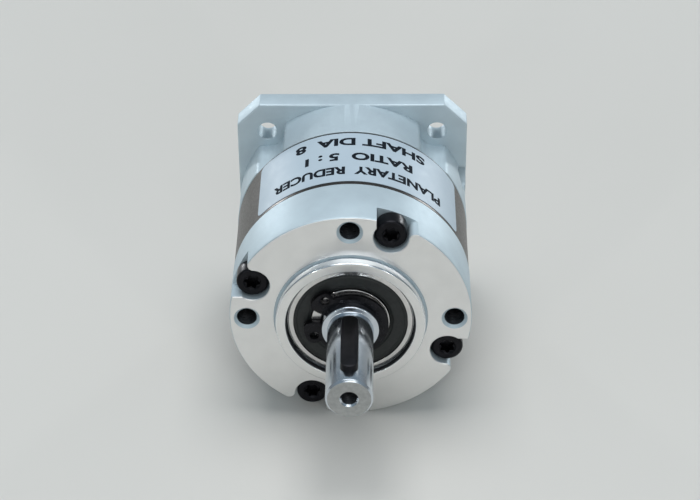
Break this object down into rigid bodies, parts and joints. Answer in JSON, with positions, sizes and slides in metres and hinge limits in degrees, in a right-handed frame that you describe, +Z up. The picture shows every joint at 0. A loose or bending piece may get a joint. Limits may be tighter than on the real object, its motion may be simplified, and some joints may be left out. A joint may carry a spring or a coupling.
{
  "type": "planetary gearbox",
  "caption": "Inline planetary gearbox lying on its side: round output housing with a keyed shaft, black ring gear casing and a square motor flange with a clamping hub inside.",
  "frame": {"origin": "centre of the footprint on the surface that the gearbox lies on, under its middle", "axes": "+Z up; the gearbox axis runs along Y at a height of 21 mm, output shaft towards -Y, motor face towards +Y"},
  "size_m": [0.042, 0.0628, 0.042],
  "materials": {
    "aluminium": "bead blasted sides, turned front face",
    "black_steel": "black oxide, satin",
    "ground_steel": "ground and polished",
    "gear_steel": "hardened, shaped teeth",
    "bearing_steel": "ground",
    "bronze": "sintered bearing bronze",
    "seal_rubber": "moulded nitrile rubber",
    "label": "printed polyester film"
  },
  "bodies": {
    "housing": {"output_housing": "aluminium", "ring_gear": "black_steel", "input_flange": "aluminium", "housing_screw_1": "black_steel", "housing_screw_2": "black_steel", "housing_screw_3": "black_steel", "housing_screw_4": "black_steel", "nameplate": "label", "front_bearing_outer_ring": "bearing_steel", "front_bearing_front_seal": "seal_rubber", "front_bearing_rear_seal": "seal_rubber", "rear_bearing_outer_ring": "bearing_steel", "input_bearing_outer_ring": "bearing_steel", "input_bearing_front_seal": "seal_rubber", "input_bearing_rear_seal": "seal_rubber"},
    "output": {"output_shaft": "ground_steel", "shaft_key": "black_steel", "carrier_rear_plate": "ground_steel", "shaft_circlip": "black_steel", "bearing_spacer": "bearing_steel", "front_bearing_inner_ring": "bearing_steel", "rear_bearing_inner_ring": "bearing_steel", "planet_pin_1": "bearing_steel", "planet_pin_2": "bearing_steel", "planet_pin_3": "bearing_steel", "planet_front_washer_1": "bronze", "planet_front_washer_2": "bronze", "planet_front_washer_3": "bronze", "planet_rear_washer_1": "bronze", "planet_rear_washer_2": "bronze", "planet_rear_washer_3": "bronze"},
    "input": {"sun_gear_shaft": "gear_steel", "clamp_collar": "black_steel", "clamp_screw": "black_steel", "input_bearing_inner_ring": "bearing_steel"},
    "planet_1": {"planet_gear_1": "gear_steel", "planet_bush_1": "bronze"},
    "planet_2": {"planet_gear_2": "gear_steel", "planet_bush_2": "bronze"},
    "planet_3": {"planet_gear_3": "gear_steel", "planet_bush_3": "bronze"},
    "front_balls": {"front_bearing_balls": "bearing_steel"},
    "rear_balls": {"rear_bearing_balls": "bearing_steel"},
    "input_balls": {"input_bearing_balls": "bearing_steel"}
  },
  "joints": [
    {"name": "output_spin", "type": "hinge", "parent": "housing", "child": "output", "pos_m": [0, -0.01265, 0.021], "axis": [0, -1, 0], "continuous": true},
    {"name": "input_spin", "type": "hinge", "parent": "housing", "child": "input", "pos_m": [0, 0.029, 0.021], "axis": [0, -1, 0], "continuous": true},
    {"name": "planet_1_spin", "type": "hinge", "parent": "output", "child": "planet_1", "pos_m": [0, 0.00995, 0.03], "axis": [0, -1, 0], "continuous": true},
    {"name": "planet_2_spin", "type": "hinge", "parent": "output", "child": "planet_2", "pos_m": [-0.00779, 0.00995, 0.0165], "axis": [0, -1, 0], "continuous": true},
    {"name": "planet_3_spin", "type": "hinge", "parent": "output", "child": "planet_3", "pos_m": [0.00779, 0.00995, 0.0165], "axis": [0, -1, 0], "continuous": true},
    {"name": "front_balls_spin", "type": "hinge", "parent": "housing", "child": "front_balls", "pos_m": [0, -0.0071, 0.021], "axis": [0, -1, 0], "continuous": true},
    {"name": "rear_balls_spin", "type": "hinge", "parent": "housing", "child": "rear_balls", "pos_m": [0, -0.001, 0.021], "axis": [0, -1, 0], "continuous": true},
    {"name": "input_balls_spin", "type": "hinge", "parent": "housing", "child": "input_balls", "pos_m": [0, 0.02095, 0.021], "axis": [0, -1, 0], "continuous": true}
  ],
  "couplings": [
    {"joint": "input_spin", "follows": "output_spin", "ratio": 5},
    {"joint": "planet_1_spin", "follows": "output_spin", "ratio": -2.6667},
    {"joint": "planet_2_spin", "follows": "output_spin", "ratio": -2.6667},
    {"joint": "planet_3_spin", "follows": "output_spin", "ratio": -2.6667},
    {"joint": "front_balls_spin", "follows": "output_spin", "ratio": 0.4008},
    {"joint": "rear_balls_spin", "follows": "output_spin", "ratio": 0.4179},
    {"joint": "input_balls_spin", "follows": "output_spin", "ratio": 2.0895}
  ]
}
